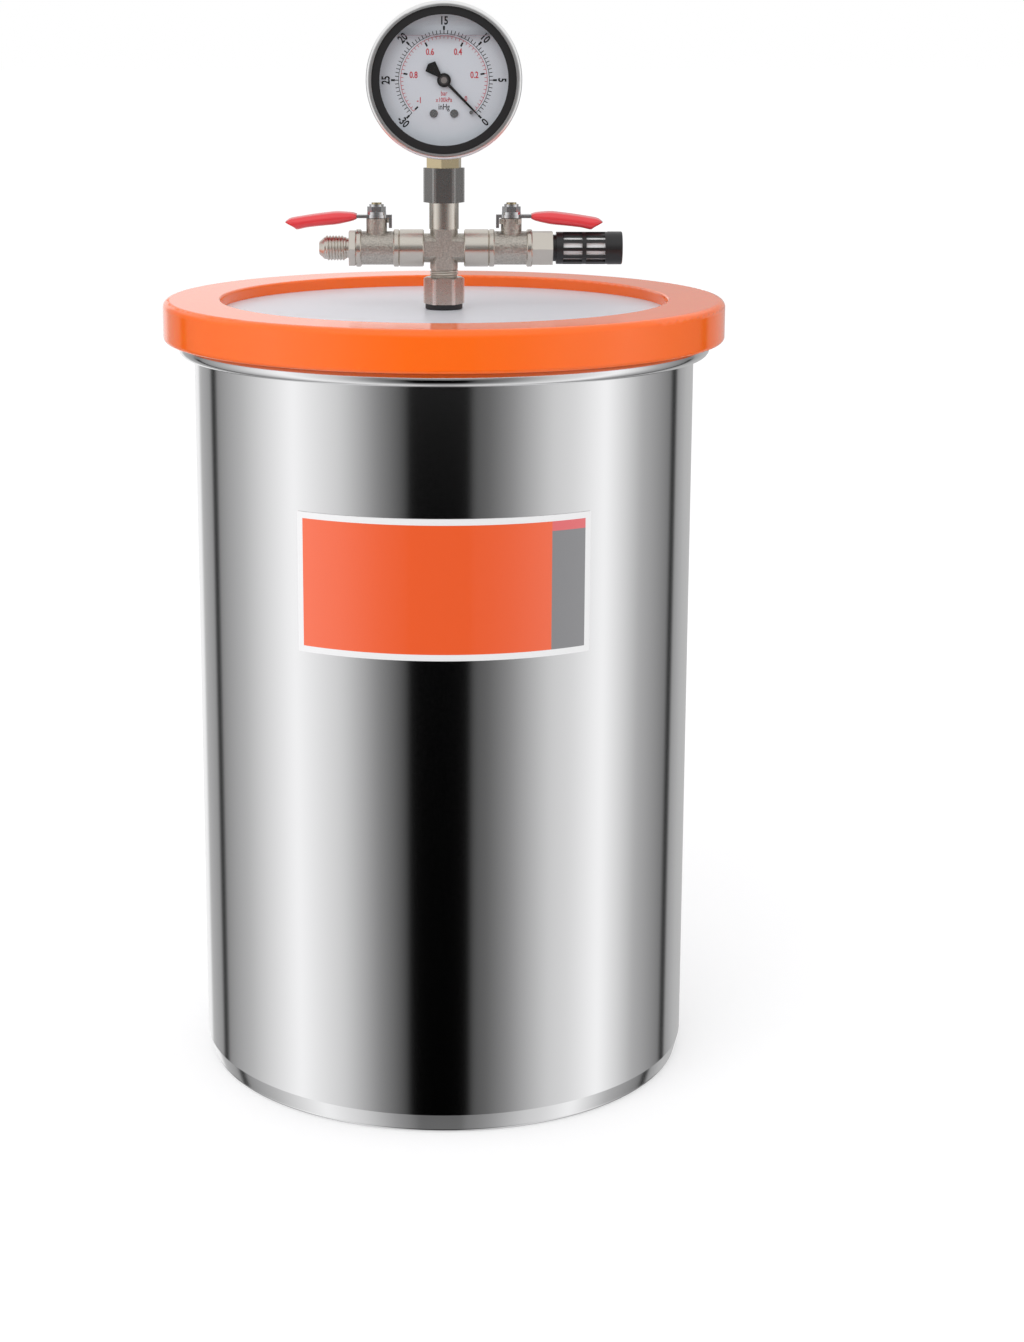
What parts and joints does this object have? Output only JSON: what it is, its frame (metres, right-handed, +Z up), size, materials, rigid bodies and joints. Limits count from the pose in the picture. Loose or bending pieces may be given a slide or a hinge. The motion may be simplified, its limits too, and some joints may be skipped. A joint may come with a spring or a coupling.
{
  "type": "vacuum chamber",
  "caption": "Tall steel pot closed by a clear lift-off lid in a ring gasket, with a dial vacuum gauge, lever ball valves, a flare nipple and a silencer on a cross fitting.",
  "frame": {"origin": "centre of the pot's base on the surface it stands on", "axes": "+Z up through the lid fitting, -Y out of the dial, +X towards the silencer"},
  "size_m": [0.2802, 0.2802, 0.5382],
  "materials": {
    "mirror_steel": "mirror polished stainless steel",
    "label_print": "printed vinyl sticker",
    "orange_silicone": "satin silicone",
    "clear_acrylic": "clear polished acrylic",
    "nickel_plate": "cast and turned, nickel plated",
    "dark_steel": "dark nickel plated",
    "black_rubber": "satin",
    "polished_steel": "polished stainless steel",
    "clear_window": "clear polycarbonate",
    "dial_face": "silver white paint",
    "bright_screw": "bright zinc plate",
    "pointer_black": "matt black paint",
    "brass": "turned brass",
    "white_ptfe": "waxy",
    "red_vinyl": "dipped vinyl",
    "black_plastic": "moulded",
    "white_felt": "pressed felt"
  },
  "bodies": {
    "pot": {"pot": "mirror_steel", "pot_label": "label_print"},
    "lid": {"bourdon_tube": "brass", "cross_fitting": "nickel_plate", "dial": "dial_face", "dial_screws": "bright_screw", "fill_plug": "black_rubber", "flare_nipple": "nickel_plate", "gauge_bezel": "polished_steel", "gauge_case": "polished_steel", "gauge_coupling": "dark_steel", "gauge_movement": "brass", "gauge_socket": "brass", "gauge_window": "clear_window", "left_valve_body": "nickel_plate", "left_valve_packing": "white_ptfe", "left_valve_retainer": "nickel_plate", "left_valve_seats": "white_ptfe", "lid_disc": "clear_acrylic", "lid_fitting": "nickel_plate", "lid_gasket": "orange_silicone", "right_valve_body": "nickel_plate", "right_valve_packing": "white_ptfe", "right_valve_retainer": "nickel_plate", "right_valve_seats": "white_ptfe", "silencer_adapter": "nickel_plate", "silencer_body": "black_plastic", "silencer_cap": "black_plastic", "silencer_felt": "white_felt", "stop_pin": "bright_screw", "top_washer": "black_rubber", "under_nut": "nickel_plate", "under_washer": "black_rubber", "window_gasket": "black_rubber"},
    "left_handle": {"left_valve_ball": "bright_screw", "left_valve_stem": "brass", "left_valve_lever": "bright_screw", "left_lever_grip": "red_vinyl", "left_stem_nut": "bright_screw"},
    "right_handle": {"right_valve_ball": "bright_screw", "right_valve_stem": "brass", "right_valve_lever": "bright_screw", "right_lever_grip": "red_vinyl", "right_stem_nut": "bright_screw"},
    "pointer": {"pointer": "pointer_black"}
  },
  "joints": [
    {"name": "lid_lift", "type": "slide", "parent": "pot", "child": "lid", "axis": [0, 0, 1], "range_m": [0, 0.45]},
    {"name": "left_valve_turn", "type": "hinge", "parent": "lid", "child": "left_handle", "pos_m": [-0.0335, 0, 0.4179], "axis": [0, 0, -1], "range_deg": [0, 90]},
    {"name": "right_valve_turn", "type": "hinge", "parent": "lid", "child": "right_handle", "pos_m": [0.0335, 0, 0.4179], "axis": [0, 0, -1], "range_deg": [0, 90]},
    {"name": "pointer_sweep", "type": "hinge", "parent": "lid", "child": "pointer", "pos_m": [0, 0, 0.5002], "axis": [0, -1, 0], "range_deg": [0, 270]}
  ]
}
